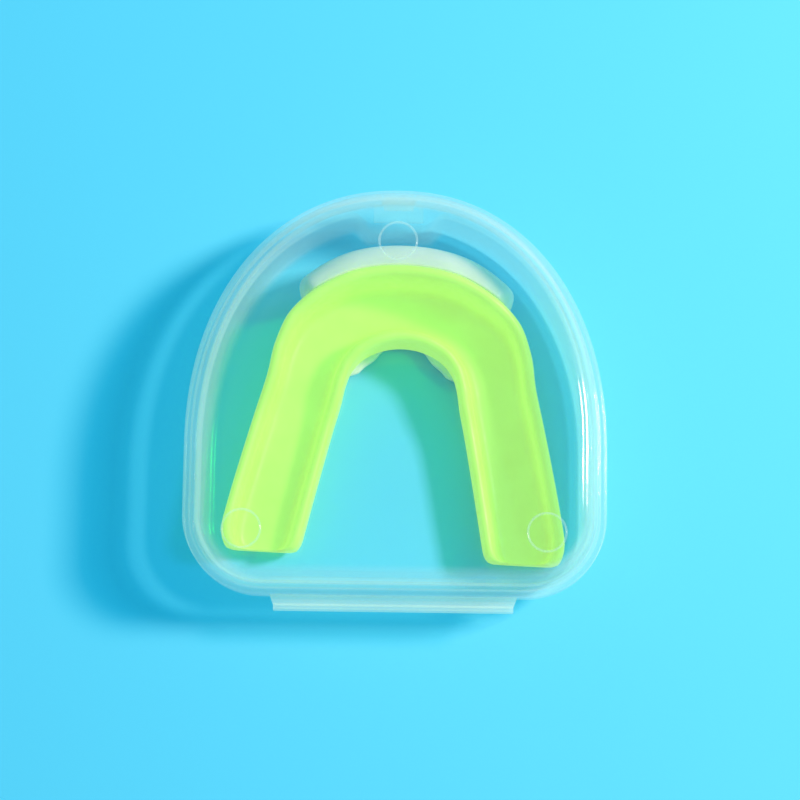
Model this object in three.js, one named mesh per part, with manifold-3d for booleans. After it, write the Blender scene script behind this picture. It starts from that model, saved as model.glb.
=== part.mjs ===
// A two-shot sports mouthguard in its hinged polypropylene storage case, closed.
// Millimetres, +Z up. The latch faces -Y, the living hinge is at +Y, and the case stands on z = 0.
import * as THREE from "three";
import { mergeVertices } from "three/addons/utils/BufferGeometryUtils.js";
import Module from "manifold-3d";

const wasm = await Module();
wasm.setup();

// ---- Driving dimensions: the case ----
const CASE_WIDTH = 80; // across the rim
const ARCH_DEPTH = 50; // rounded front half of the plan
const SIDE_RUN = 13; // straight part of each side
const CORNER_R = 15; // rear corners of the plan
const ARCH_POWER = 2.15; // superellipse exponent, a little squarer than an ellipse
const CASE_HEIGHT = 26;
const PART_Z = 13; // plane where lid and base meet
const PART_GAP = 0.1;
const WALL = 1.2;
const SKIRT_HEIGHT = 3; // upright rim band of each half
const SHOULDER = 1.8; // how far the rim stands out from the wall
const DRAFT = Math.tan(THREE.MathUtils.degToRad(5));
const EDGE_R = 3; // outside radius where a wall turns into the floor or the top
const LIP_OUT = 1.3; // upright seal lip of the base: outer and inner inset from the rim
const LIP_IN = 2.3;
const LIP_HEIGHT = 2.3;
const SKIRT_WALL = 1.1; // thickness of the lid's rim band

// ---- Driving dimensions: hinge and latch ----
const LEAF_WIDTH = 46.6;
const LEAF_REACH = 2; // how far each hinge leaf stands out from the rim
const LEAF_THICK = 1;
const LEAF_GAP = 0.6; // between the two leaves when closed
const LEAF_TAPER = 0.7; // each leaf's outer edge is this much shorter at each end
const WEB_R = 0.8; // centreline radius of the folded living hinge
const WEB_THICK = 0.4;
const RECESS_HALF = 9.3; // finger recess in the base's front wall: half width at its mouth
const RECESS_DEPTH = 3.2;
const KEEPER_HALF = 4.8; // half width of the recess's flat back and of the keeper bar
const KEEPER_DROP = 1.4; // height of the keeper bar under the base's shoulder
const TONGUE_WIDTH = 5.8;
const TONGUE_THICK = 1.05;
const TONGUE_END_Z = 4.8;
const NOTCH_SIDE = 0.4; // play beside the tongue in the base's rim
const NOTCH_DEPTH = 1.25;
const BARB_BITE = 0.9; // how far the barb stands in from the tongue
const TONGUE_INSET = 0.1; // the tongue's face lies this far behind the rim's front edge
const LIP_REACH = 1.1; // finger lip at the foot of the tongue
const RING_R = 3.55; // round marks on the inside of the lid
const RING_LINE = 0.4;
const RING_HEIGHT = 0.2;
const RING_PLACES = { front: [0, -28], left: [28.3, 26.9], right: [-28.3, 26.9] };

// ---- Driving dimensions: the mouthguard ----
const GUARD_TURN = -2.4; // degrees: it lies a little askew in the case
const GUARD_X = -0.85;
const GUARD_FLOOR_GAP = 0.3;
const LINER_FRONT_BASE = 1.5; // the liner's underside is raised by this over the insert's plate
const CHANNEL_FLOOR = 3.2; // bite thickness under the teeth
const LEG_END_R = 4; // rounding of the legs' ends
const LEG_END_SQUARE = 0.8; // less than 1 leaves a flat in the middle of each end
const LINER_STEPS = 40;
const PLATE_THICK = 1.2;
const BUMPER_THICK = 4.8;
const BUMPER_HALF = 19.4; // lateral reach of the white front bumper
const TAB_REACH = 1.1; // the insert's tabs behind the inner wall

// Heights of the liner's walls above the channel floor, from the front to the ends of the legs.
const OUTER_WALL = [14, 13.6, 12.4, 10.4, 8.8, 8, 7.4, 6.8, 6.2];
const INNER_WALL = [7.6, 7.4, 6.8, 6, 5.4, 5, 4.8, 4.6, 4.2];

// Left half of the mouthguard's outer and inner edge, from the middle of the front to a leg's end.
const OUTER_EDGE = [
  [0, -25.1],
  [9.5, -23.9],
  [17, -20.2],
  [22, -15.7],
  [24.6, -9.9],
  [25.9, -3.4],
  [27.8, 4],
  [30.8, 17.5],
  [33.4, 30],
];
const INNER_EDGE = [
  [0, -11.1],
  [4.2, -10.4],
  [7.7, -8.5],
  [9.8, -5.9],
  [10.8, -3],
  [11.5, 0.6],
  [12.5, 5.5],
  [14.8, 18],
  [17, 30],
];

// ---- Derived sizes ----
const HALF_WIDTH = CASE_WIDTH / 2;
const RIM_DEPTH = ARCH_DEPTH + SIDE_RUN + CORNER_R;
const WEB_OUT_R = WEB_R + WEB_THICK / 2;
const LATCH_OVERHANG = LIP_REACH - TONGUE_INSET;
const HINGE_OVERHANG = LEAF_REACH + WEB_OUT_R;
const FRONT_Y = (LATCH_OVERHANG - RIM_DEPTH - HINGE_OVERHANG) / 2; // puts the whole object's middle at y = 0
const BACK_Y = FRONT_Y + RIM_DEPTH;
const ARCH_Y = FRONT_Y + ARCH_DEPTH; // where the arch meets the straight sides
const SHOULDER_LOW = PART_Z - SKIRT_HEIGHT;
const SHOULDER_HIGH = PART_Z + SKIRT_HEIGHT;
const WALL_FOOT = SHOULDER + (SHOULDER_LOW - EDGE_R) * DRAFT; // inset where the rounding to the floor starts
const INNER_R = EDGE_R - WALL + 0.4; // a little over the parallel radius, so the corners are thicker
const HINGE_Z = PART_Z + PART_GAP / 2;
const INNER_TOP = CASE_HEIGHT - WALL;

// ---- Materials ----
const plastic = (color, roughness, opacity = 1) =>
  new THREE.MeshStandardMaterial({ color, roughness, metalness: 0, opacity, transparent: opacity < 1 });
const casePlastic = plastic(0xcfeaf0, 0.25, 0.4);
const limeEva = plastic(0xb8ff5a, 0.45);
const whiteEva = plastic(0xe9efe9, 0.5);

const group = new THREE.Group();

function addMesh(name, geometry, material, parent = group) {
  const mesh = new THREE.Mesh(geometry, material);
  mesh.name = name;
  parent.add(mesh);
  return mesh;
}

// ---- Solid tools ----

function toManifold(geometry) {
  const bare = geometry.clone();
  bare.deleteAttribute("normal");
  bare.deleteAttribute("uv");
  const merged = mergeVertices(bare, 1e-4);
  return new wasm.Manifold(
    new wasm.Mesh({
      numProp: 3,
      vertProperties: merged.attributes.position.array,
      triVerts: new Uint32Array(merged.index.array),
    }),
  );
}

function toGeometry(solid) {
  const { vertProperties, triVerts } = solid.getMesh();
  const geometry = new THREE.BufferGeometry();
  geometry.setAttribute("position", new THREE.BufferAttribute(vertProperties, 3));
  geometry.setIndex(new THREE.BufferAttribute(triVerts, 1));
  return geometry;
}

function geometryOf(points, triangles) {
  const geometry = new THREE.BufferGeometry().setFromPoints(points);
  geometry.setIndex(triangles);
  return geometry;
}

// Joins rings of points, one after another. The first ring is closed downwards and the last upwards.
function loftRings(rings) {
  const count = rings[0].length;
  const points = rings.flat();
  const triangles = [];
  for (let i = 0; i + 1 < rings.length; i++)
    for (let j = 0; j < count; j++) {
      const next = (j + 1) % count;
      const [a, b] = [i * count + j, i * count + next];
      const [c, d] = [a + count, b + count];
      triangles.push(a, b, d, a, d, c);
    }
  const centreOf = (ring) => new THREE.Vector3(0, ARCH_Y, ring[0].z);
  const bottom = points.push(centreOf(rings[0])) - 1;
  const top = points.push(centreOf(rings.at(-1))) - 1;
  const last = (rings.length - 1) * count;
  for (let j = 0; j < count; j++) {
    const next = (j + 1) % count;
    triangles.push(bottom, next, j, top, last + j, last + next);
  }
  return geometryOf(points, triangles);
}

// Joins clockwise cross-sections along a path and closes both ends with their own outline.
function loftSections(sections, flatEnd) {
  const count = sections[0].length;
  const triangles = [];
  for (let i = 0; i + 1 < sections.length; i++)
    for (let j = 0; j < count; j++) {
      const next = (j + 1) % count;
      const [a, b] = [i * count + j, i * count + next];
      triangles.push(a, a + count, b + count, a, b + count, b);
    }
  const last = (sections.length - 1) * count;
  for (const [a, b, c] of THREE.ShapeUtils.triangulateShape(flatEnd, [])) {
    triangles.push(c, b, a);
    triangles.push(last + a, last + b, last + c);
  }
  return geometryOf(sections.flat(), triangles);
}

// A shape drawn in the Y-Z plane, extruded along X and centred on x = 0.
function extrudeAlongX(shape, width, options = {}) {
  const geometry = new THREE.ExtrudeGeometry(shape, { depth: width, bevelEnabled: false, ...options });
  geometry.translate(0, 0, -width / 2);
  const toYZ = new THREE.Matrix4().makeBasis(
    new THREE.Vector3(0, 1, 0),
    new THREE.Vector3(0, 0, 1),
    new THREE.Vector3(1, 0, 0),
  );
  return geometry.applyMatrix4(toYZ);
}

function shapeOf(points) {
  return new THREE.Shape(points.map(([u, v]) => new THREE.Vector2(u, v)));
}

// ---- Plan outline of the case ----

const ARCH_STEPS = 24;
const CORNER_STEPS = 8;

// Angles along the front arch, with extra ones where the finger recess has its corners.
function archAngles() {
  const angles = [];
  for (let i = 0; i <= 2 * ARCH_STEPS; i++) angles.push((i * Math.PI) / (2 * ARCH_STEPS));
  for (const x of [RECESS_HALF, KEEPER_HALF]) {
    const angle = Math.acos((x / HALF_WIDTH) ** (ARCH_POWER / 2));
    angles.push(angle, Math.PI - angle);
  }
  return angles.sort((a, b) => a - b);
}

// Anticlockwise seen from above. A recess pushes the front wall inwards round x = 0.
function caseRing(inset, z, recess = 0) {
  const ring = [];
  const power = 2 / ARCH_POWER;
  for (const angle of archAngles().reverse()) {
    const cos = Math.cos(angle);
    const x = Math.sign(cos) * Math.abs(cos) ** power * (HALF_WIDTH - inset);
    const y = ARCH_Y - Math.sin(angle) ** power * (ARCH_DEPTH - inset);
    const share = (RECESS_HALF - Math.abs(x)) / (RECESS_HALF - KEEPER_HALF);
    ring.push(new THREE.Vector3(x, y + recess * THREE.MathUtils.clamp(share, 0, 1), z));
  }
  const cornerY = ARCH_Y + SIDE_RUN;
  for (const [side, from] of [[1, 0], [-1, Math.PI / 2]])
    for (let i = 0; i <= CORNER_STEPS; i++) {
      const angle = from + (i * Math.PI) / 2 / CORNER_STEPS;
      const centreX = side * (HALF_WIDTH - CORNER_R);
      const r = CORNER_R - inset;
      ring.push(new THREE.Vector3(centreX + r * Math.cos(angle), cornerY + r * Math.sin(angle), z));
    }
  return ring;
}

// Quarter-round from the wall to the flat of the floor. Heights are measured from that flat.
function edgeRound(wallInset, radius) {
  return [0, 30, 60, 90].map((degrees) => {
    const angle = THREE.MathUtils.degToRad(degrees);
    return [wallInset + radius * (1 - Math.cos(angle)), radius * (1 - Math.sin(angle))];
  });
}

// ---- Base ----

function makeBase() {
  const outside = edgeRound(WALL_FOOT, EDGE_R).reverse();
  const inside = edgeRound(WALL_FOOT + WALL, INNER_R);
  const lipTop = PART_Z + LIP_HEIGHT;
  const rings = [
    ...outside.map(([inset, z]) => caseRing(inset, z, RECESS_DEPTH)),
    caseRing(SHOULDER, SHOULDER_LOW, RECESS_DEPTH),
    caseRing(0, SHOULDER_LOW),
    caseRing(0, PART_Z),
    caseRing(LIP_OUT, PART_Z),
    caseRing(LIP_OUT, lipTop),
    caseRing(LIP_IN, lipTop),
    caseRing(LIP_IN, SHOULDER_LOW + WALL + 0.8),
    caseRing(SHOULDER + WALL, SHOULDER_LOW + WALL),
    caseRing(SHOULDER + WALL, SHOULDER_LOW - 0.6, RECESS_DEPTH),
    ...inside.map(([inset, z]) => caseRing(inset, z + WALL, RECESS_DEPTH)),
  ];
  const notchWidth = TONGUE_WIDTH + 2 * NOTCH_SIDE;
  const notch = new THREE.BoxGeometry(notchWidth, 2 * NOTCH_DEPTH, 2 * SKIRT_HEIGHT);
  notch.translate(0, FRONT_Y, PART_Z - SKIRT_HEIGHT / 2);
  return toGeometry(toManifold(loftRings(rings)).subtract(toManifold(notch)));
}
addMesh("case_base", makeBase(), casePlastic);

// Bar under the base's front shoulder that the latch's barb snaps beneath.
const keeperFront = FRONT_Y + NOTCH_DEPTH + 0.15;
const keeperBack = FRONT_Y + SHOULDER + RECESS_DEPTH - 0.3;
const keeper = new THREE.BoxGeometry(2 * KEEPER_HALF, keeperBack - keeperFront, KEEPER_DROP);
keeper.translate(0, (keeperFront + keeperBack) / 2, SHOULDER_LOW - KEEPER_DROP / 2);
addMesh("latch_keeper", keeper, casePlastic);

// ---- Lid ----

function makeLid() {
  const skirtFoot = PART_Z + PART_GAP;
  const underShoulder = PART_Z + LIP_HEIGHT + 0.3;
  const inside = edgeRound(WALL_FOOT + WALL, INNER_R).reverse();
  const outside = edgeRound(WALL_FOOT, EDGE_R);
  const rings = [
    ...inside.map(([inset, z]) => caseRing(inset, INNER_TOP - z)),
    caseRing(SHOULDER + WALL, underShoulder),
    caseRing(SKIRT_WALL, underShoulder),
    caseRing(SKIRT_WALL, skirtFoot),
    caseRing(0, skirtFoot),
    caseRing(0, SHOULDER_HIGH),
    caseRing(SHOULDER, SHOULDER_HIGH),
    ...outside.map(([inset, z]) => caseRing(inset, CASE_HEIGHT - z)),
  ];
  return loftRings(rings);
}
addMesh("case_lid", makeLid(), casePlastic);

// Round marks that stand down from the inside of the lid's top.
function ringMark() {
  const [inner, outer] = [RING_R - RING_LINE / 2, RING_R + RING_LINE / 2];
  const profile = [
    [inner, -RING_HEIGHT],
    [outer, -RING_HEIGHT],
    [outer, 0],
    [inner, 0],
    [inner, -RING_HEIGHT],
  ].map(([r, h]) => new THREE.Vector2(r, h));
  return new THREE.LatheGeometry(profile, 24).rotateX(Math.PI / 2);
}
for (const [place, [x, y]] of Object.entries(RING_PLACES))
  addMesh("lid_ring_" + place, ringMark(), casePlastic).position.set(x, y, INNER_TOP);

// ---- Living hinge ----

// One leaf: a flat tongue of the rim, a little shorter along its outer edge.
function hingeLeaf() {
  const half = LEAF_WIDTH / 2;
  const outline = shapeOf([
    [-half, 0],
    [half, 0],
    [half - LEAF_TAPER, LEAF_REACH],
    [LEAF_TAPER - half, LEAF_REACH],
  ]);
  return new THREE.ExtrudeGeometry(outline, { depth: LEAF_THICK, bevelEnabled: false });
}
addMesh("hinge_leaf_base", hingeLeaf(), casePlastic).position.set(
  0,
  BACK_Y,
  HINGE_Z - LEAF_GAP / 2 - LEAF_THICK,
);
addMesh("hinge_leaf_lid", hingeLeaf(), casePlastic).position.set(0, BACK_Y, HINGE_Z + LEAF_GAP / 2);

// The thin web folds round in a half circle from one leaf's edge to the other's.
const webShape = new THREE.Shape();
webShape.absarc(0, 0, WEB_OUT_R, -Math.PI / 2, Math.PI / 2, false);
webShape.absarc(0, 0, WEB_R - WEB_THICK / 2, Math.PI / 2, -Math.PI / 2, true);
const web = extrudeAlongX(webShape, LEAF_WIDTH - 2 * LEAF_TAPER, { curveSegments: 8 });
addMesh("hinge_web", web, casePlastic).position.set(0, BACK_Y + LEAF_REACH, HINGE_Z);

// ---- Latch ----

const latch = new THREE.Group();
latch.position.set(0, FRONT_Y + TONGUE_INSET, PART_Z + PART_GAP);
group.add(latch);
const tongueLength = PART_Z + PART_GAP - TONGUE_END_Z;
const barbTop = SHOULDER_LOW - KEEPER_DROP - 0.2 - PART_Z - PART_GAP; // just under the keeper

const tongue = new THREE.BoxGeometry(TONGUE_WIDTH, TONGUE_THICK, tongueLength);
tongue.translate(0, TONGUE_THICK / 2, -tongueLength / 2);
addMesh("latch_tongue", tongue, casePlastic, latch);

const barbShape = shapeOf([
  [TONGUE_THICK, barbTop - 1.8],
  [TONGUE_THICK + BARB_BITE, barbTop - 0.5],
  [TONGUE_THICK + BARB_BITE, barbTop],
  [TONGUE_THICK, barbTop],
]);
addMesh("latch_barb", extrudeAlongX(barbShape, TONGUE_WIDTH), casePlastic, latch);

const fingerShape = shapeOf([
  [0, -tongueLength],
  [0, 1.5 - tongueLength],
  [-0.5, 1.2 - tongueLength],
  [-LIP_REACH, 0.9 - tongueLength],
  [-LIP_REACH, 0.2 - tongueLength],
]);
addMesh("latch_finger_lip", extrudeAlongX(fingerShape, TONGUE_WIDTH), casePlastic, latch);

// ---- Mouthguard ----

const guard = new THREE.Group();
guard.position.set(GUARD_X, 0, WALL + GUARD_FLOOR_GAP);
guard.rotation.z = THREE.MathUtils.degToRad(GUARD_TURN);
group.add(guard);

// A smooth edge through the points of one half and their mirror images, from leg to leg.
function fullEdge(half) {
  const mirrored = half.slice(1).map(([x, y]) => [-x, y]);
  const points = [...mirrored.reverse(), ...half].map(([x, y]) => new THREE.Vector3(x, y, 0));
  return new THREE.CatmullRomCurve3(points, false, "centripetal");
}
const outerEdge = fullEdge(OUTER_EDGE);
const innerEdge = fullEdge(INNER_EDGE);
const stationCount = OUTER_EDGE.length - 1; // control points on each side of the middle

// A value listed from the middle of the front to the legs' ends, at u from 0 to 1 along the guard.
function along(list, u) {
  const place = Math.abs(u - 0.5) * 2 * stationCount;
  const low = Math.min(Math.floor(place), stationCount - 1);
  return THREE.MathUtils.lerp(list[low], list[low + 1], place - low);
}

// 1 over the front third, easing to 0 at the legs.
function frontShare(u) {
  return 1 - THREE.MathUtils.smoothstep(Math.abs(u - 0.5) * 2, 0.5, 0.8);
}

// Places a flat section, given as [distance from the outer edge, height], across the guard at u.
function placeSection(flat, u) {
  const outer = outerEdge.getPoint(u);
  const across = innerEdge.getPoint(u).sub(outer).normalize();
  return flat.map(([a, z]) => outer.clone().addScaledVector(across, a).setZ(z));
}

// How far the section is drawn in near a leg's end, so that the end is rounded.
function endInset(u) {
  const toEnd = Math.min(u, 1 - u) * outerEdge.getLength();
  const t = THREE.MathUtils.clamp(1 - toEnd / LEG_END_R, 0, 1);
  return LEG_END_R * (1 - Math.sqrt(1 - t ** 2)) * LEG_END_SQUARE;
}

// The liner's U-shaped section: outer wall, channel and inner wall, with rounded edges.
function linerSection(u) {
  const inset = endInset(u);
  const width = innerEdge.getPoint(u).distanceTo(outerEdge.getPoint(u)) - 2 * inset;
  const low = LINER_FRONT_BASE * frontShare(u) + 0.4 * inset;
  const floor = low + CHANNEL_FLOOR - 0.4 * inset;
  const outerTop = floor + along(OUTER_WALL, u) - 1.2 * inset;
  const innerTop = floor + along(INNER_WALL, u) - inset;
  const section = [
    [1.3, low],
    [0.35, low + 0.9],
    [0, low + 2.4],
    [0.15, outerTop - 1.1],
    [0.75, outerTop - 0.15],
    [1.6, outerTop - 0.15],
    [2.3, outerTop - 1.1],
    [2.7, floor + 1.2],
    [3.6, floor],
    [width - 3.6, floor],
    [width - 2.7, floor + 1],
    [width - 2.3, innerTop - 1],
    [width - 1.6, innerTop - 0.1],
    [width - 0.8, innerTop - 0.1],
    [width - 0.15, innerTop - 1],
    [width, low + 2],
    [width - 0.4, low + 0.8],
    [width - 1.4, low],
  ];
  return section.map(([a, z]) => [a + inset, z]);
}

// Stations from one leg's end to the other, closer together near both ends.
function linerStations() {
  const ends = [0, 0.002, 0.006, 0.012, 0.02];
  const middle = [];
  for (let i = 0; i <= LINER_STEPS; i++) middle.push(THREE.MathUtils.lerp(0.035, 0.965, i / LINER_STEPS));
  return [...ends, ...middle, ...ends.map((u) => 1 - u).reverse()];
}

function makeLiner() {
  const sections = linerStations().map((u) => placeSection(linerSection(u), u));
  const flatEnd = linerSection(0).map(([a, z]) => new THREE.Vector2(a, z));
  return loftSections(sections, flatEnd);
}
addMesh("guard_liner", makeLiner(), limeEva, guard);

// u at which the outer edge reaches a lateral distance x.
function outerEdgeAt(x) {
  let [low, high] = [0, 1];
  for (let i = 0; i < 30; i++) {
    const middle = (low + high) / 2;
    if (outerEdge.getPoint(middle).x < x) low = middle;
    else high = middle;
  }
  return low;
}

const INSERT_STEPS = 20;
const insertStart = outerEdgeAt(-BUMPER_HALF);
const insertEnd = outerEdgeAt(BUMPER_HALF);
const insertStations = Array.from({ length: INSERT_STEPS + 1 }, (_, i) =>
  THREE.MathUtils.lerp(insertStart, insertEnd, i / INSERT_STEPS),
);

// 0 in the middle of the insert and 1 at its ends.
function insertShare(u) {
  return Math.abs((2 * (u - insertStart)) / (insertEnd - insertStart) - 1);
}

// White front bumper: a rounded bar in front of the liner's outer wall, thinner towards its ends.
function bumperSection(u) {
  const share = insertShare(u);
  const thick = BUMPER_THICK * (1 - 0.62 * share ** 3);
  const back = -0.3;
  const low = LINER_FRONT_BASE - 0.3 - PLATE_THICK;
  const high = 15.6 - 1.8 * share ** 2;
  return [
    [back, low],
    [back - 0.3 * thick, low],
    [back - 0.75 * thick, low + 1.2],
    [back - thick, low + 4],
    [back - thick, high - 5],
    [back - 0.85 * thick, high - 1.8],
    [back - 0.45 * thick, high - 0.3],
    [back, high],
  ];
}

// Plate under the liner's front that joins the bumper to the two tabs behind the inner wall.
function plateSection(u) {
  const width = innerEdge.getPoint(u).distanceTo(outerEdge.getPoint(u));
  const share = insertShare(u);
  const { smoothstep } = THREE.MathUtils;
  const tab = smoothstep(share, 0.12, 0.35) * (1 - smoothstep(share, 0.75, 0.95));
  const end = width - 1 + (1 + TAB_REACH) * tab;
  return [
    [-1, 0],
    [-1, PLATE_THICK],
    [end, PLATE_THICK],
    [end, 0],
  ];
}

function loftInsert(section) {
  const sections = insertStations.map((u) => placeSection(section(u), u));
  const flatEnd = section(insertStations[0]).map(([a, z]) => new THREE.Vector2(a, z));
  return toManifold(loftSections(sections, flatEnd));
}
const insert = loftInsert(bumperSection).add(loftInsert(plateSection));
addMesh("guard_front_insert", toGeometry(insert), whiteEva, guard);

export default group;
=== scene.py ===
"""Looks for the mouthguard in its clear hinged case. Everything is in metres, in the CAD's frame."""
import math

import bmesh
import bpy
from mathutils import Matrix, Vector


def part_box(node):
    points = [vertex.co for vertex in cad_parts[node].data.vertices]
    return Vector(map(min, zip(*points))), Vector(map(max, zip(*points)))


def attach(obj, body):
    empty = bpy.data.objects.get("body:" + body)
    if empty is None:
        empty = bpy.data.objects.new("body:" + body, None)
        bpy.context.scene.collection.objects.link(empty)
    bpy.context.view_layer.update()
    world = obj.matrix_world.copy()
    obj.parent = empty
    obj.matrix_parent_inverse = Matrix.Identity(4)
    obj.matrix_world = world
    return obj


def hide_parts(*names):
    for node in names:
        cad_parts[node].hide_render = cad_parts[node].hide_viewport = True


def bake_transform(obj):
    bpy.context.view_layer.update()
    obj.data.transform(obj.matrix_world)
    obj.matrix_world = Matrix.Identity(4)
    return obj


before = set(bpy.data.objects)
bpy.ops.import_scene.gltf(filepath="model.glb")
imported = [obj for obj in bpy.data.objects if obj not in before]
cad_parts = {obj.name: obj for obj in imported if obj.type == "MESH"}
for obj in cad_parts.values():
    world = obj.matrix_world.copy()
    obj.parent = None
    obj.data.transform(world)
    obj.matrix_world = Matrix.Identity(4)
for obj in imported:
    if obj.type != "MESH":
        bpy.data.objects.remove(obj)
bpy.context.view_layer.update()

MM = 0.001

# ---- Sizes read from the frame, in metres ----
lid_low, lid_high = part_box("case_lid")
base_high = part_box("case_base")[1]
leaf_low, leaf_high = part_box("hinge_leaf_base")
lid_leaf_low, lid_leaf_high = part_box("hinge_leaf_lid")
web_low, web_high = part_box("hinge_web")
HALF_WIDTH = lid_high[0]
FRONT_Y = lid_low[1]
BACK_Y = lid_high[1]
CASE_TOP = lid_high[2]
SKIRT_FOOT = lid_low[2]
LIP_TOP = base_high[2]

# ---- Sizes shared with the CAD source, in metres ----
ARCH_DEPTH = 50 * MM
CORNER_R = 15 * MM
ARCH_POWER = 2.15
ARCH_Y = FRONT_Y + ARCH_DEPTH
PART_Z = SKIRT_FOOT - 0.1 * MM
WALL = 1.2 * MM
SKIRT_HEIGHT = 3 * MM
SHOULDER = 1.8 * MM
DRAFT = math.tan(math.radians(5))
EDGE_R = 3 * MM
INNER_R = EDGE_R - WALL + 0.4 * MM
LIP_OUT = 1.3 * MM
LIP_IN = 2.3 * MM
SKIRT_WALL = 1.1 * MM
RECESS_HALF = 9.3 * MM
RECESS_FLAT_HALF = 4.8 * MM
RECESS_DEPTH = 3.2 * MM
NOTCH_HALF = 3.3 * MM
NOTCH_DEPTH = 1.25 * MM
LIP_CLEAR = 0.3 * MM
WALL_FOOT = SHOULDER + (PART_Z - SKIRT_HEIGHT - EDGE_R) * DRAFT  # inset where the rounding starts


# ---------------------------------------------------------------- mesh tools

def new_object(name, bm, *looks):
    """Makes a smooth-shaded object from a bmesh and frees the bmesh."""
    bmesh.ops.recalc_face_normals(bm, faces=bm.faces)
    mesh = bpy.data.meshes.new(name)
    bm.to_mesh(mesh)
    bm.free()
    for polygon in mesh.polygons:
        polygon.use_smooth = True
    for look in looks:
        mesh.materials.append(look)
    piece = bpy.data.objects.new(name, mesh)
    bpy.context.scene.collection.objects.link(piece)
    return piece


def settle(piece, body, slot, *nodes):
    """Says which body the piece rides on and hides the CAD nodes it stands for. The slot argument is not
    used.
    """
    if body:
        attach(piece, body)
    if nodes:
        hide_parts(*nodes)


def loft(rings, rim=range(0)):
    """Joins rings of points into a closed body, with one flat face on each end.
    Bands of faces from the rings in `rim` take the second material."""
    bm = bmesh.new()
    rows = [[bm.verts.new(point) for point in ring] for ring in rings]
    count = len(rows[0])
    for i, (low, high) in enumerate(zip(rows, rows[1:])):
        for j in range(count):
            k = (j + 1) % count
            bm.faces.new((low[j], low[k], high[k], high[j])).material_index = int(i in rim)
    bm.faces.new(list(reversed(rows[0])))
    bm.faces.new(rows[-1])
    return bm


def smooth_step(edge0, edge1, value):
    """Goes smoothly from 0 at edge0 to 1 at edge1."""
    t = min(max((value - edge0) / (edge1 - edge0), 0), 1)
    return t * t * (3 - 2 * t)


def rounded(points, steps=4):
    """Rounds each corner of an open profile. A point is (x, y, radius)."""
    out = []
    for i, (x, y, radius) in enumerate(points):
        here = Vector((x, y))
        if radius == 0 or i in (0, len(points) - 1):
            out.append(here)
            continue
        before = Vector(points[i - 1][:2]) - here
        after = Vector(points[i + 1][:2]) - here
        reach = min(radius, before.length * 0.49, after.length * 0.49)
        start = here + before.normalized() * reach
        end = here + after.normalized() * reach
        for k in range(steps + 1):
            t = k / steps
            out.append(start.lerp(here, t).lerp(here.lerp(end, t), t))
    return out


# ---------------------------------------------------------------- case shells

ARCH_STEPS = 150
CORNER_STEPS = 20
STRAIGHT_STEPS = 10
NOTCH_SIDE = 0.08 * MM  # width of the notch's side walls in plan
NOTCH_REACH = NOTCH_HALF + 0.03 * MM  # points nearer the middle than this move in with the notch
FINE = 0.22 * MM  # rounding of the rim's edges
FLAT_EDGE = 1 * MM  # from the end of the foot's rounding to the flat's first ring


def arch_angles():
    """Angles round the front arch, with extra ones at the notch's side walls."""
    angles = [i * math.pi / ARCH_STEPS for i in range(ARCH_STEPS + 1)]
    for x in (NOTCH_HALF, NOTCH_HALF + NOTCH_SIDE):
        angle = math.acos((x / HALF_WIDTH) ** (ARCH_POWER / 2))
        angles += [angle, math.pi - angle]
    return sorted(angles, reverse=True)


ANGLES = arch_angles()


def plan_ring(inset, z, recess=0.0, notch=0.0):
    """The case's plan outline, drawn in by inset. Recess and notch push its front inwards."""
    ring = []
    power = 2 / ARCH_POWER
    for angle in ANGLES:
        cos = math.cos(angle)
        x = math.copysign(abs(cos) ** power, cos) * (HALF_WIDTH - inset)
        y = ARCH_Y - math.sin(angle) ** power * (ARCH_DEPTH - inset)
        push = recess * (1 - smooth_step(RECESS_FLAT_HALF, RECESS_HALF, abs(x)))
        if abs(x) <= NOTCH_REACH:
            push += notch
        ring.append((x, y + push, z))
    centre_y = BACK_Y - CORNER_R
    for k in range(1, STRAIGHT_STEPS):
        ring.append((HALF_WIDTH - inset, ARCH_Y + (centre_y - ARCH_Y) * k / STRAIGHT_STEPS, z))
    for side, first in ((1, 0), (-1, math.pi / 2)):
        for k in range(CORNER_STEPS + 1):
            angle = first + k * math.pi / 2 / CORNER_STEPS
            radius = CORNER_R - inset
            x = side * (HALF_WIDTH - CORNER_R) + radius * math.cos(angle)
            ring.append((x, centre_y + radius * math.sin(angle), z))
        if side == 1:
            half = HALF_WIDTH - CORNER_R
            for k in range(1, STRAIGHT_STEPS):
                ring.append((half - 2 * half * k / STRAIGHT_STEPS, BACK_Y - inset, z))
    for k in range(1, STRAIGHT_STEPS):
        ring.append((inset - HALF_WIDTH, centre_y + (ARCH_Y - centre_y) * k / STRAIGHT_STEPS, z))
    return ring


def foot_arc(wall_inset, radius, steps=9):
    """Quarter-round from the wall (first) to the flat (last): (inset, height over the flat)."""
    out = []
    for k in range(steps + 1):
        angle = math.pi / 2 * k / steps
        out.append((wall_inset + radius * (1 - math.cos(angle)), radius * (1 - math.sin(angle))))
    return out


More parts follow.
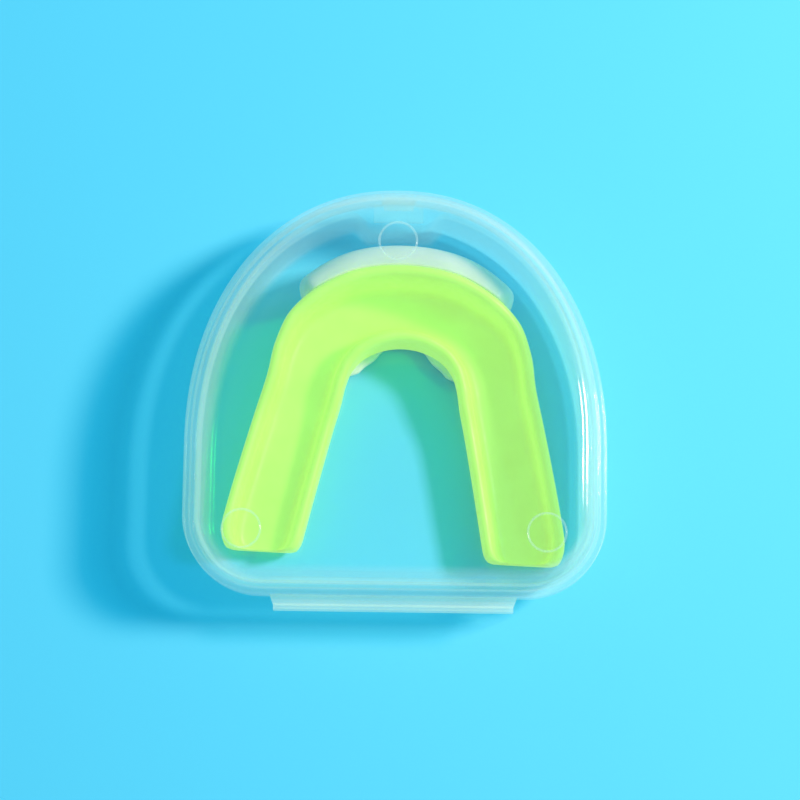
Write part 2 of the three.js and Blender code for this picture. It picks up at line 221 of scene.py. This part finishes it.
def base_shell():
    """The bottom shell: out along the underside, up the wall, over the flange and lip, and back inside."""
    low = PART_Z - SKIRT_HEIGHT
    outside = foot_arc(WALL_FOOT, EDGE_R)[::-1]
    inside = foot_arc(WALL_FOOT + WALL, INNER_R)
    rings = [plan_ring(outside[0][0] + FLAT_EDGE, 0, RECESS_DEPTH)]
    rings += [plan_ring(inset, z, RECESS_DEPTH) for inset, z in outside]
    for share in (0.15, 0.5, 0.85):
        z = EDGE_R + (low - EDGE_R) * share
        rings.append(plan_ring(WALL_FOOT + (SHOULDER - WALL_FOOT) * share, z, RECESS_DEPTH))
    rings.append(plan_ring(SHOULDER + 0.02 * MM, low - 0.25 * MM, RECESS_DEPTH))
    rings.append(plan_ring(SHOULDER - 0.2 * MM, low, RECESS_DEPTH))
    rim_start = len(rings)
    rim = rounded([
        (SHOULDER - 0.4 * MM, low, 0),
        (0, low, FINE),
        (0, PART_Z, FINE),
        (LIP_OUT, PART_Z, FINE / 2),
        (LIP_OUT, LIP_TOP, FINE),
        (LIP_IN, LIP_TOP, FINE),
        (LIP_IN, low + WALL + 0.8 * MM, FINE),
        (SHOULDER + WALL, low + WALL, 0),
    ])
    for inset, z in rim:
        notched = NOTCH_DEPTH if inset < LIP_OUT - 0.05 * MM and z > low + 0.01 * MM else 0
        rings.append(plan_ring(inset, z, 0, notched * smooth_step(LIP_OUT, 0.0, inset)))
    milky = range(rim_start - 1, len(rings))
    rings.append(plan_ring(SHOULDER + WALL, low + 0.3 * MM, RECESS_DEPTH * 0.6))
    rings.append(plan_ring(SHOULDER + WALL, low - 0.6 * MM, RECESS_DEPTH))
    rings += [plan_ring(inset, z + WALL, RECESS_DEPTH) for inset, z in inside]
    rings.append(plan_ring(inside[-1][0] + FLAT_EDGE, WALL, RECESS_DEPTH))
    return new_object("base_shell", loft(rings, rim=milky), pp, pp_rim)


def lid_shell():
    """The top shell: out along the inside of the top, down to the skirt's foot, and back up outside."""
    inner_top = CASE_TOP - WALL
    under = LIP_TOP + LIP_CLEAR
    high = PART_Z + SKIRT_HEIGHT
    inside = foot_arc(WALL_FOOT + WALL, INNER_R)[::-1]
    outside = foot_arc(WALL_FOOT, EDGE_R)
    profile = [(inside[0][0] + FLAT_EDGE, inner_top)]
    profile += [(inset, inner_top - z) for inset, z in inside]
    rim_start = len(profile)
    profile += [tuple(point) for point in rounded([
        (WALL_FOOT + WALL, inner_top - INNER_R, 0),
        (SHOULDER + WALL, under, FINE),
        (SKIRT_WALL, under, FINE),
        (SKIRT_WALL, SKIRT_FOOT, FINE),
        (0, SKIRT_FOOT, FINE),
        (0, high, FINE),
        (SHOULDER, high, FINE),
        (WALL_FOOT, CASE_TOP - EDGE_R, 0),
    ])[1:-1]]
    milky = range(rim_start, len(profile) - 1)
    profile += [(inset, CASE_TOP - z) for inset, z in outside]
    profile.append((outside[-1][0] + FLAT_EDGE, CASE_TOP))
    rings = [plan_ring(inset, z) for inset, z in profile]
    return new_object("lid_shell", loft(rings, rim=milky), pp, pp_rim)


# ---------------------------------------------------------------- hinge and ring marks

LEAF_TAPER = 0.7 * MM
LEAF_CLEAR = 0.08 * MM  # keeps the leaves' edges apart when the case is laid open
LEAF_STEPS = 24
RIDGES = 3  # on each leaf, parallel to the hinge
RIDGE_DEPTH = 0.15 * MM
LEAF_ROUND = 0.25 * MM  # rounding of a leaf's outer edge
ROUND_FROM = 0.92  # how far along the leaf that rounding starts
WEB_THICK = 0.4 * MM
WEB_ROOT = 0.3 * MM  # how deep the web's edges sit in the leaves
WEB_STEPS = 16
RING_LINE = 0.4 * MM  # width of a ring mark's bead
RING_STEPS = 96


def slab_ring(half, low, high, place, radius=0.12 * MM):
    """A rounded rectangle across X. place turns (x, height) into a point."""
    corners = [(half, low, radius), (half, high, radius), (-half, high, radius), (-half, low, radius)]
    middle = (0, low, 0)
    return [place(x, z) for x, z in rounded([middle] + corners + [middle], 3)[:-1]]


def hinge_leaf(name, low, high, material):
    """A flat leaf with fine ridges along its length, a little shorter along its outer edge."""
    rings = []
    reach = high[1] - LEAF_CLEAR - low[1]
    for k in range(LEAF_STEPS + 1):
        share = k / LEAF_STEPS
        ridge = RIDGE_DEPTH * (0.5 - 0.5 * math.cos(share * RIDGES * 2 * math.pi))
        end = LEAF_ROUND * max(0, (share - ROUND_FROM) / (1 - ROUND_FROM)) ** 2
        half = high[0] - LEAF_TAPER * share

        def place(x, z, y=low[1] + reach * share):
            return (x, y, z)

        rings.append(slab_ring(half - end, low[2] + ridge + end, high[2] - ridge - end, place))
    return new_object(name, loft(rings), material)


def hinge_strip(material):
    """The thin web, folded round in a half circle between the two leaves' edges."""
    middle_z = (web_low[2] + web_high[2]) / 2
    outer = (web_high[2] - web_low[2]) / 2
    inner = outer - WEB_THICK
    rings = []
    for k in range(WEB_STEPS + 1):
        angle = math.pi * (k / WEB_STEPS - 0.5)

        def place(x, r, angle=angle):
            return (x, web_low[1] + r * math.cos(angle), middle_z + r * math.sin(angle))

        rings.append(slab_ring(web_high[0], inner, outer, place))
    for end, index in ((rings[0], 0), (rings[-1], len(rings) + 1)):
        rings.insert(index, [(x, y - WEB_ROOT, z) for x, y, z in end])
    return new_object("hinge_strip", loft(rings), material)


def ring_mark(node, material):
    """A round moulding mark: a low bead that stands down from the lid's inside."""
    low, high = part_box(node)
    centre = [(a + b) / 2 for a, b in zip(low, high)]
    middle_r = (high[0] - low[0]) / 2 - RING_LINE / 2
    height = high[2] - low[2]
    # Half-round section, as shares of the bead's width and height.
    section = [(-0.5, 0), (0.5, 0), (0.48, -0.6), (0.3, -0.92), (0, -1), (-0.3, -0.92), (-0.48, -0.6)]
    bm = bmesh.new()
    rows = []
    for k in range(RING_STEPS):
        angle = 2 * math.pi * k / RING_STEPS
        row = []
        for across, down in section:
            r = middle_r + across * RING_LINE
            x = centre[0] + r * math.cos(angle)
            y = centre[1] + r * math.sin(angle)
            row.append(bm.verts.new((x, y, high[2] + down * height)))
        rows.append(row)
    for k in range(RING_STEPS):
        here, there = rows[k], rows[(k + 1) % RING_STEPS]
        for j in range(len(section)):
            n = (j + 1) % len(section)
            bm.faces.new((here[j], here[n], there[n], there[j]))
    return new_object(node + "_bead", bm, material)


# ---------------------------------------------------------------- mouthguard
# Its sizes are in millimetres, and guard_point turns them into metres.

GUARD_TURN = math.radians(-2.4)
GUARD_AT = Vector((-0.85 * MM, 0, 1.5 * MM))
OUTER_EDGE = [(0, -24.8), (9.5, -23.6), (17, -19.9), (22, -15.5), (24.6, -9.8), (25.9, -3.4), (27.9, 4),
              (31.2, 17.5), (33.8, 29.7)]
INNER_EDGE = [(0, -11.1), (4.2, -10.4), (7.7, -8.5), (9.8, -5.9), (10.8, -3), (11.5, 0.6), (12.7, 5.5),
              (15.4, 18), (17.8, 29.7)]
OUTER_WALL = [14, 13.6, 12.4, 10.4, 8.8, 8, 7.4, 6.8, 6.2]
INNER_WALL = [7.6, 7.4, 6.8, 6, 5.4, 5, 4.8, 4.6, 4.2]
FRONT_LIFT = 1.5
CHANNEL_FLOOR = 3.2
OUTER_END_R = 3.4  # rounding of a leg's outer and inner corners at its end
INNER_END_R = 1.5
END_SQUASH = 0.8  # how round those corners are: 1 is a true quarter circle


def spline(points, closed=False):
    """A centripetal curve through the points. Returns a function of u from 0 to 1."""
    points = [Vector(point) for point in points]
    count = len(points) if closed else len(points) - 1

    def at(index):
        if closed:
            return points[index % len(points)]
        if index < 0:
            return points[0] * 2 - points[1]
        if index > count:
            return points[-1] * 2 - points[-2]
        return points[index]

    def value(u):
        place = u * count
        i = min(int(place), count - 1)
        around = [at(i + k) for k in (-1, 0, 1, 2)]
        knots = [0.0]
        for a, b in zip(around, around[1:]):
            knots.append(knots[-1] + max((b - a).length, 1e-6) ** 0.5)
        t = knots[1] + (knots[2] - knots[1]) * (place - i)

        def between(a, b, first, last):
            return a.lerp(b, (t - knots[first]) / (knots[last] - knots[first]))

        one, two, three = (between(around[k], around[k + 1], k, k + 1) for k in range(3))
        return between(between(one, two, 0, 2), between(two, three, 1, 3), 1, 2)

    return value


def smooth_outline(points, count):
    """Takes evenly spread points from a smooth curve through a closed outline."""
    curve = spline(points, closed=True)
    return [curve(k / count) for k in range(count)]


def both_sides(half):
    """Adds the mirror image of half an outline."""
    return [(-x, y) for x, y in half[:0:-1]] + list(half)


outer_edge = spline(both_sides(OUTER_EDGE))
inner_edge = spline(both_sides(INNER_EDGE))
EDGE_LENGTH = 120  # about, along the outer edge


def along(values, u):
    """Reads a list of sizes that runs from the front's middle (u = 0.5) to each leg's end."""
    place = abs(u - 0.5) * 2 * (len(values) - 1)
    low = min(int(place), len(values) - 2)
    t = place - low
    t = t * t * (3 - 2 * t) * 0.5 + t * 0.5
    return values[low] + (values[low + 1] - values[low]) * t


def front_share(u):
    """1 at the front, falling to 0 along the legs."""
    return 1 - smooth_step(0.5, 0.8, abs(u - 0.5) * 2)


def end_inset(u, radius):
    """How far a leg's corner is drawn in near its end."""
    t = min(max(1 - min(u, 1 - u) * EDGE_LENGTH / radius, 0), 1)
    return radius * (1 - math.sqrt(1 - t * t)) * END_SQUASH


def guard_point(a, z, u):
    """A point at distance a from the outer edge and height z, in the case's frame."""
    outer, inner = outer_edge(u), inner_edge(u)
    flat = outer + (inner - outer).normalized() * a
    here = Vector((flat.x, flat.y, z)) * MM
    return Matrix.Rotation(GUARD_TURN, 3, "Z") @ here + GUARD_AT


def liner_section(u):
    """The liner's U-shaped section: outer wall, channel and inner wall."""
    start = end_inset(u, OUTER_END_R)
    inner_inset = end_inset(u, INNER_END_R)
    width = (inner_edge(u) - outer_edge(u)).length - inner_inset
    lift = FRONT_LIFT * front_share(u)
    low = lift + 0.25 * start
    floor = lift + CHANNEL_FLOOR
    outer_top = floor + along(OUTER_WALL, u) - 1.1 * start
    inner_top = floor + along(INNER_WALL, u) - 1.0 * inner_inset
    outer_wall = [
        (start + 1.5, low), (start + 0.5, low + 0.45), (start + 0.05, low + 1.6), (start, low + 3),
        (start + 0.05, (low + outer_top) / 2), (start + 0.15, outer_top - 1.3),
        (start + 0.55, outer_top - 0.3), (start + 1.2, outer_top), (start + 1.9, outer_top - 0.35),
        (start + 2.3, outer_top - 1.3), (start + 2.5, (floor + outer_top) / 2),
    ]
    channel = [
        (start + 2.8, floor + 1.5), (start + 3.6, floor + 0.35), (start + 5.0, floor),
        (width - 5.0, floor), (width - 3.6, floor + 0.3), (width - 2.8, floor + 1.3),
    ]
    inner_wall = [
        (width - 2.45, (floor + inner_top) / 2 + 0.3), (width - 2.2, inner_top - 1.0),
        (width - 1.7, inner_top - 0.2), (width - 1.15, inner_top), (width - 0.55, inner_top - 0.25),
        (width - 0.15, inner_top - 1.1), (width - 0.05, (low + inner_top) / 2), (width, low + 2),
        (width - 0.15, low + 1), (width - 0.6, low + 0.3), (width - 1.5, low),
    ]
    return outer_wall + channel + inner_wall


SECTION_POINTS = 84
LINER_STEPS = 150
END_STATIONS = [0, 0.0015, 0.004, 0.008, 0.013, 0.02, 0.027]  # close together round a leg's end
LEG_END = 0.035  # how far along the liner the even steps start


def guard_liner(material):
    """The green liner: its section, lofted from one leg's end round the arch to the other's."""
    body = [LEG_END + (1 - 2 * LEG_END) * k / LINER_STEPS for k in range(LINER_STEPS + 1)]
    rings = []
    for u in END_STATIONS + body + [1 - station for station in reversed(END_STATIONS)]:
        outline = smooth_outline(liner_section(u), SECTION_POINTS)
        rings.append([guard_point(a, z, u) for a, z in outline])
    return new_object("liner", loft(rings), material)


def outer_edge_at(x):
    """Finds u where the outer edge crosses x."""
    low, high = 0.0, 1.0
    for _ in range(30):
        middle = (low + high) / 2
        if outer_edge(middle).x < x:
            low = middle
        else:
            high = middle
    return low


BUMPER_HALF = 19.4
BUMPER_BACK = -0.3  # gap between the bumper and the liner
BUMPER_THICK = 4.8
BUMPER_THIN = 0.35  # at its very ends
BUMPER_TAPER = 0.30  # share of its thickness lost towards the ends
BUMPER_ROUND_FROM = 0.88  # where it starts to round off, as a share of the half length
BUMPER_ROUND_FALL = 0.0185  # the smaller, the blunter its ends
BUMPER_LOW = 0.3
BUMPER_TOP = 15.6
BUMPER_POINTS = 40
TOP_DROP = 1.8  # how much lower the top is at the ends
TIP_FROM = 0.85  # where the top and bottom start to round off, as a share of the half length
TIP_DROP = 2.0
PLATE_LOW = 0.0
PLATE_HIGH = 1.2
TAB_REACH = 0.9
PLATE_REACH = 0.45  # how much of the arch the plate lies under
INSERT_START = outer_edge_at(-BUMPER_HALF)
INSERT_END = outer_edge_at(BUMPER_HALF)
INSERT_STEPS = 72


def insert_share(u):
    """0 in the middle of the bumper and 1 at its ends."""
    return abs(2 * (u - INSERT_START) / (INSERT_END - INSERT_START) - 1)


def bumper_section(u):
    """Section of the white bumper, nearly lens-shaped in plan, with round ends."""
    share = insert_share(u)
    back = BUMPER_BACK
    round_end = 1 - max(0, share - BUMPER_ROUND_FROM) ** 2 / BUMPER_ROUND_FALL + 0.001
    thick = max(BUMPER_THICK * (1 - BUMPER_TAPER * share ** 2) * round_end, BUMPER_THIN)
    tip = TIP_DROP * max(0, share - TIP_FROM) / (1 - TIP_FROM)
    high = BUMPER_TOP - TOP_DROP * share ** 2 - tip
    low = BUMPER_LOW + tip
    return [
        (back, low), (back - 0.3 * thick, low), (back - 0.72 * thick, low + 1.0),
        (back - 0.95 * thick, low + 3.2), (back - thick, (low + high) / 2),
        (back - 0.97 * thick, high - 4), (back - 0.82 * thick, high - 1.6),
        (back - 0.5 * thick, high - 0.35), (back - 0.2 * thick, high), (back, high),
    ]


def front_bumper(material):
    """The white bumper on the front of the arch."""
    rings = []
    for k in range(INSERT_STEPS + 1):
        u = INSERT_START + (INSERT_END - INSERT_START) * k / INSERT_STEPS
        outline = smooth_outline(bumper_section(u), BUMPER_POINTS)
        rings.append([guard_point(a, z, u) for a, z in outline])
    return new_object("front_bumper", loft(rings), material)


def under_plate(material):
    """The plate under the liner's front, with two rounded tabs that show behind the inner wall."""
    rings = []
    for k in range(INSERT_STEPS + 1):
        u = 0.5 + PLATE_REACH * (k / INSERT_STEPS - 0.5)
        place = abs(u - 0.5) * 2 * (len(OUTER_EDGE) - 1)  # counted in points of the outline
        width = (inner_edge(u) - outer_edge(u)).length
        tab = smooth_step(0.5, 1.7, place) * (1 - smooth_step(2.5, 3.6, place))
        start = 1.5 - 2.5 * (1 - smooth_step(1.4, 2.0, place))
        end = width - 1 + (1 + TAB_REACH) * tab
        corners = [
            (start, PLATE_LOW, 0.3), (start, PLATE_HIGH, 0.3), (end, PLATE_HIGH, 0.5), (end, PLATE_LOW, 0.4),
        ]
        middle = ((start + end) / 2, PLATE_LOW, 0)
        outline = rounded([middle] + corners + [middle], 4)[:-1]
        rings.append([guard_point(a, z, u) for a, z in outline])
    return new_object("under_plate", loft(rings), material)


# ---------------------------------------------------------------- materials

BUMP_HEIGHT = 0.2 * MM


def material(name, base, roughness, **extra):
    """A Principled material. Extra values go straight to the shader's own sockets."""
    made = bpy.data.materials.new(name)
    made.use_nodes = True
    shader = made.node_tree.nodes["Principled BSDF"]
    shader.inputs["Base Color"].default_value = (*base, 1)
    shader.inputs["Roughness"].default_value = roughness
    for socket, value in extra.items():
        shader.inputs[socket.replace("_", " ")].default_value = value
    return made, made.node_tree, shader


def noise_on(tree, scale, detail):
    """Noise in the object's own coordinates."""
    where = tree.nodes.new("ShaderNodeTexCoord")
    noise = tree.nodes.new("ShaderNodeTexNoise")
    noise.inputs["Scale"].default_value = scale
    noise.inputs["Detail"].default_value = detail
    tree.links.new(where.outputs["Object"], noise.inputs["Vector"])
    return noise.outputs["Fac"]


def ramp(tree, value, low, high, place=(0.3, 0.7)):
    """Turns a 0 to 1 value into a range of colours or of single numbers."""
    node = tree.nodes.new("ShaderNodeValToRGB")
    for element, colour, at in zip(node.color_ramp.elements, (low, high), place):
        element.color = (*colour, 1) if isinstance(colour, tuple) else (colour, colour, colour, 1)
        element.position = at
    tree.links.new(value, node.inputs["Fac"])
    return node.outputs["Color"]


def bump(tree, shader, height, strength):
    """Lets a 0 to 1 value dent the surface by up to BUMP_HEIGHT."""
    node = tree.nodes.new("ShaderNodeBump")
    node.inputs["Strength"].default_value = strength
    node.inputs["Distance"].default_value = BUMP_HEIGHT
    tree.links.new(height, node.inputs["Height"])
    tree.links.new(node.outputs["Normal"], shader.inputs["Normal"])


def mix_shaders(tree, share, first, second):
    """A Mix Shader of two shader nodes. share is how much of the second one shows."""
    mix = tree.nodes.new("ShaderNodeMixShader")
    tree.links.new(share, mix.inputs["Fac"])
    tree.links.new(first.outputs[0], mix.inputs[1])
    tree.links.new(second.outputs[0], mix.inputs[2])
    return mix


def shaded_by(tree, surface, tint):
    """Shows the surface to every ray but a lamp's shadow rays, which pass through and take the tint.
    The tint is a colour, or a socket that gives one."""
    through = tree.nodes.new("ShaderNodeBsdfTransparent")
    if isinstance(tint, tuple):
        through.inputs["Color"].default_value = (*tint, 1)
    else:
        tree.links.new(tint, through.inputs["Color"])
    path = tree.nodes.new("ShaderNodeLightPath")
    shaded = mix_shaders(tree, path.outputs["Is Shadow Ray"], surface, through)
    tree.links.new(shaded.outputs["Shader"], tree.nodes["Material Output"].inputs["Surface"])


def upright_tint(tree, wall_tint):
    """Walls that stand upright spread a lamp's light more than the flat top and floor do."""
    where = tree.nodes.new("ShaderNodeTexCoord")
    split = tree.nodes.new("ShaderNodeSeparateXYZ")
    flatness = tree.nodes.new("ShaderNodeMath")
    flatness.operation = "ABSOLUTE"
    tree.links.new(where.outputs["Normal"], split.inputs["Vector"])
    tree.links.new(split.outputs["Z"], flatness.inputs[0])
    return ramp(tree, flatness.outputs["Value"], wall_tint, (0.98, 0.99, 0.99), (0.3, 0.95))


def clear_plastic(name, milk, edge_milk, painted_glow, wall_tint=(0.21, 0.46, 0.54)):
    """Natural polypropylene: nearly clear face on, milkier where it's seen along a wall, and glossy.
    The painted glow is an emission: painted light that brightens the milky plastic, its shaded sides too."""
    # The emission is painted light: an even glow that lightens the plastic where it lies in shade.
    made, tree, body = material(
        name, (0.86, 0.97, 0.98), 0.3, IOR=1.3, Emission_Color=(*painted_glow, 1), Emission_Strength=1.0,
    )
    cloudy = ramp(tree, noise_on(tree, 60, 3), (0.80, 0.95, 0.96), (0.92, 1.0, 1.0))
    tree.links.new(cloudy, body.inputs["Base Color"])
    facing = tree.nodes.new("ShaderNodeLayerWeight")
    facing.inputs["Blend"].default_value = 0.5
    grazing = tree.nodes.new("ShaderNodeMath")
    grazing.operation = "POWER"
    grazing.inputs[1].default_value = 4
    tree.links.new(facing.outputs["Facing"], grazing.inputs[0])
    clear = tree.nodes.new("ShaderNodeBsdfTransparent")
    clear.inputs["Color"].default_value = (0.965, 0.985, 0.98, 1)
    shine = tree.nodes.new("ShaderNodeBsdfGlossy")
    tree.links.new(ramp(tree, noise_on(tree, 300, 4), 0.05, 0.11), shine.inputs["Roughness"])
    milkiness = ramp(tree, facing.outputs["Facing"], milk, edge_milk, (0.04, 0.42))
    veil = mix_shaders(tree, milkiness, clear, body)
    surface = mix_shaders(tree, ramp(tree, grazing.outputs["Value"], 0.028, 0.30, (0, 1)), veil, shine)
    height = noise_on(tree, 90, 3)
    bump(tree, body, height, 0.12)
    bump(tree, shine, height, 0.02)
    shaded_by(tree, surface, upright_tint(tree, wall_tint))
    return made


def soft_eva(name, dark, light, roughness, painted_glow, tint):
    """Soft EVA: satin, light passes a little way into it, and a painted glow (emission) brightens it, its
    shaded parts too.
    """
    # The emission is painted light: an even glow that lifts the EVA's shaded parts.
    made, tree, shader = material(
        name, light, roughness, IOR=1.47, Emission_Strength=1.0, Emission_Color=(*painted_glow, 1),
        Subsurface_Weight=0.5, Subsurface_Scale=0.005, Subsurface_Radius=(1.0, 1.0, 0.6),
    )
    tree.links.new(ramp(tree, noise_on(tree, 110, 3), dark, light), shader.inputs["Base Color"])
    uneven = ramp(tree, noise_on(tree, 700, 4), roughness - 0.08, roughness + 0.08)
    tree.links.new(uneven, shader.inputs["Roughness"])
    bump(tree, shader, noise_on(tree, 260, 4), 0.15)
    shaded_by(tree, shader, tint)
    return made


# The third colour of each clear plastic is its painted glow: emission that lightens its shaded parts.
pp = clear_plastic("case_polypropylene", 0.009, 0.155, (0.24, 0.20, 0.13))
pp_rim = clear_plastic("rim_polypropylene", 0.062, 0.20, (0.30, 0.36, 0.32))
pp_mark = clear_plastic("mark_polypropylene", 0.09, 0.22, (0.16, 0.20, 0.16), (0.9, 0.95, 0.95))
pp_latch = clear_plastic("latch_polypropylene", 0.07, 0.12, (0.34, 0.42, 0.40), (0.85, 0.93, 0.94))
pp_hinge = clear_plastic("hinge_polypropylene", 0.11, 0.22, (0.22, 0.24, 0.11), (0.7, 0.85, 0.85))
# The glow colours of the EVAs are painted light too: emission that evens out their shade.
lime = soft_eva(
    "lime_eva", dark=(0.24, 0.54, 0.07), light=(0.30, 0.62, 0.10), roughness=0.48,
    painted_glow=(0.35, 0.48, 0.10), tint=(0.08, 0.62, 0.14),
)
white = soft_eva(
    "white_eva", dark=(0.58, 0.67, 0.61), light=(0.70, 0.77, 0.71), roughness=0.45,
    painted_glow=(0.02, 0.035, 0.02), tint=(0.30, 0.38, 0.34),
)

# ---------------------------------------------------------------- build

EDGE_BEVEL = 0.12 * MM

settle(base_shell(), "base", "case_plastic", "case_base")
settle(lid_shell(), "lid", "case_plastic", "case_lid")
leaf_of_base = hinge_leaf("leaf_of_base", leaf_low, leaf_high, pp_hinge)
settle(leaf_of_base, "base", "case_plastic", "hinge_leaf_base")
leaf_of_lid = hinge_leaf("leaf_of_lid", lid_leaf_low, lid_leaf_high, pp_hinge)
settle(leaf_of_lid, "lid", "case_plastic", "hinge_leaf_lid")

strip = hinge_strip(pp_hinge)
settle(strip, None, "case_plastic", "hinge_web")
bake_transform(strip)

for node in ("lid_ring_front", "lid_ring_left", "lid_ring_right"):
    settle(ring_mark(node, pp_mark), "lid", "case_plastic", node)

for node in ("latch_keeper", "latch_tongue", "latch_barb", "latch_finger_lip"):
    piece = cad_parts[node]
    piece.data.materials.clear()
    piece.data.materials.append(pp_latch)
    edges = piece.modifiers.new("edges", "BEVEL")
    edges.width = EDGE_BEVEL
    edges.segments = 3
    edges.limit_method = "ANGLE"

settle(guard_liner(lime), "mouthguard", "lime_eva", "guard_liner")
settle(front_bumper(white), "mouthguard", "white_eva", "guard_front_insert")
settle(under_plate(white), "mouthguard", "white_eva")

# ---------------------------------------------------------------- stage, light and camera

FLOOR_SIZE = 3
FLOOR_GAP = 0.2 * MM  # keeps the floor's face clear of the case's underside
VIEW_TILT = math.radians(10)
VIEW_DISTANCE = 0.5
VIEW_ROLL = math.radians(0.8)
PICTURE_WIDTH = 152.7 * MM  # what the picture takes in at the rim
AIM = Vector((-0.75 * MM, 0.4 * MM, PART_Z))
SENSOR = 36

scene = bpy.context.scene
scene.view_settings.view_transform = "Standard"
scene.cycles.transparent_max_bounces = 48  # a look through the rim passes a dozen clear faces

floor_bm = bmesh.new()
bmesh.ops.create_grid(floor_bm, x_segments=1, y_segments=1, size=FLOOR_SIZE)
floor = new_object("floor", floor_bm, material("pale_floor", (0.125, 0.70, 0.95), 0.7)[0])
floor.location.z = -FLOOR_GAP

world = bpy.data.worlds.new("studio")
world.use_nodes = True
background = world.node_tree.nodes["Background"]
background.inputs["Color"].default_value = (0.10, 0.78, 1.0, 1)
background.inputs["Strength"].default_value = 0.62
scene.world = world


def area_light(name, towards, distance, size, watts, colour):
    """A square lamp in direction `towards` from the object, aimed at it."""
    lamp = bpy.data.lights.new(name, "AREA")
    lamp.size = size
    lamp.energy = watts
    lamp.color = colour
    holder = bpy.data.objects.new(name, lamp)
    holder.location = Vector(towards).normalized() * distance
    holder.rotation_euler = Vector(towards).to_track_quat("Z", "Y").to_euler()
    scene.collection.objects.link(holder)


area_light("key", towards=(-24.4, -6.6, 25), distance=0.8, size=0.115, watts=6.7, colour=(1.0, 0.765, 0.675))

camera_data = bpy.data.cameras.new("camera")
camera_data.sensor_width = SENSOR
camera_data.lens = SENSOR * VIEW_DISTANCE / PICTURE_WIDTH
camera = bpy.data.objects.new("camera", camera_data)
away = Vector((0, math.sin(VIEW_TILT), math.cos(VIEW_TILT)))
right = Vector((-1, 0, 0))
up = away.cross(right)
turn = Matrix((right, up, away)).transposed() @ Matrix.Rotation(VIEW_ROLL, 3, "Z")
camera.matrix_world = Matrix.Translation(AIM + away * VIEW_DISTANCE) @ turn.to_4x4()
scene.collection.objects.link(camera)
scene.camera = camera
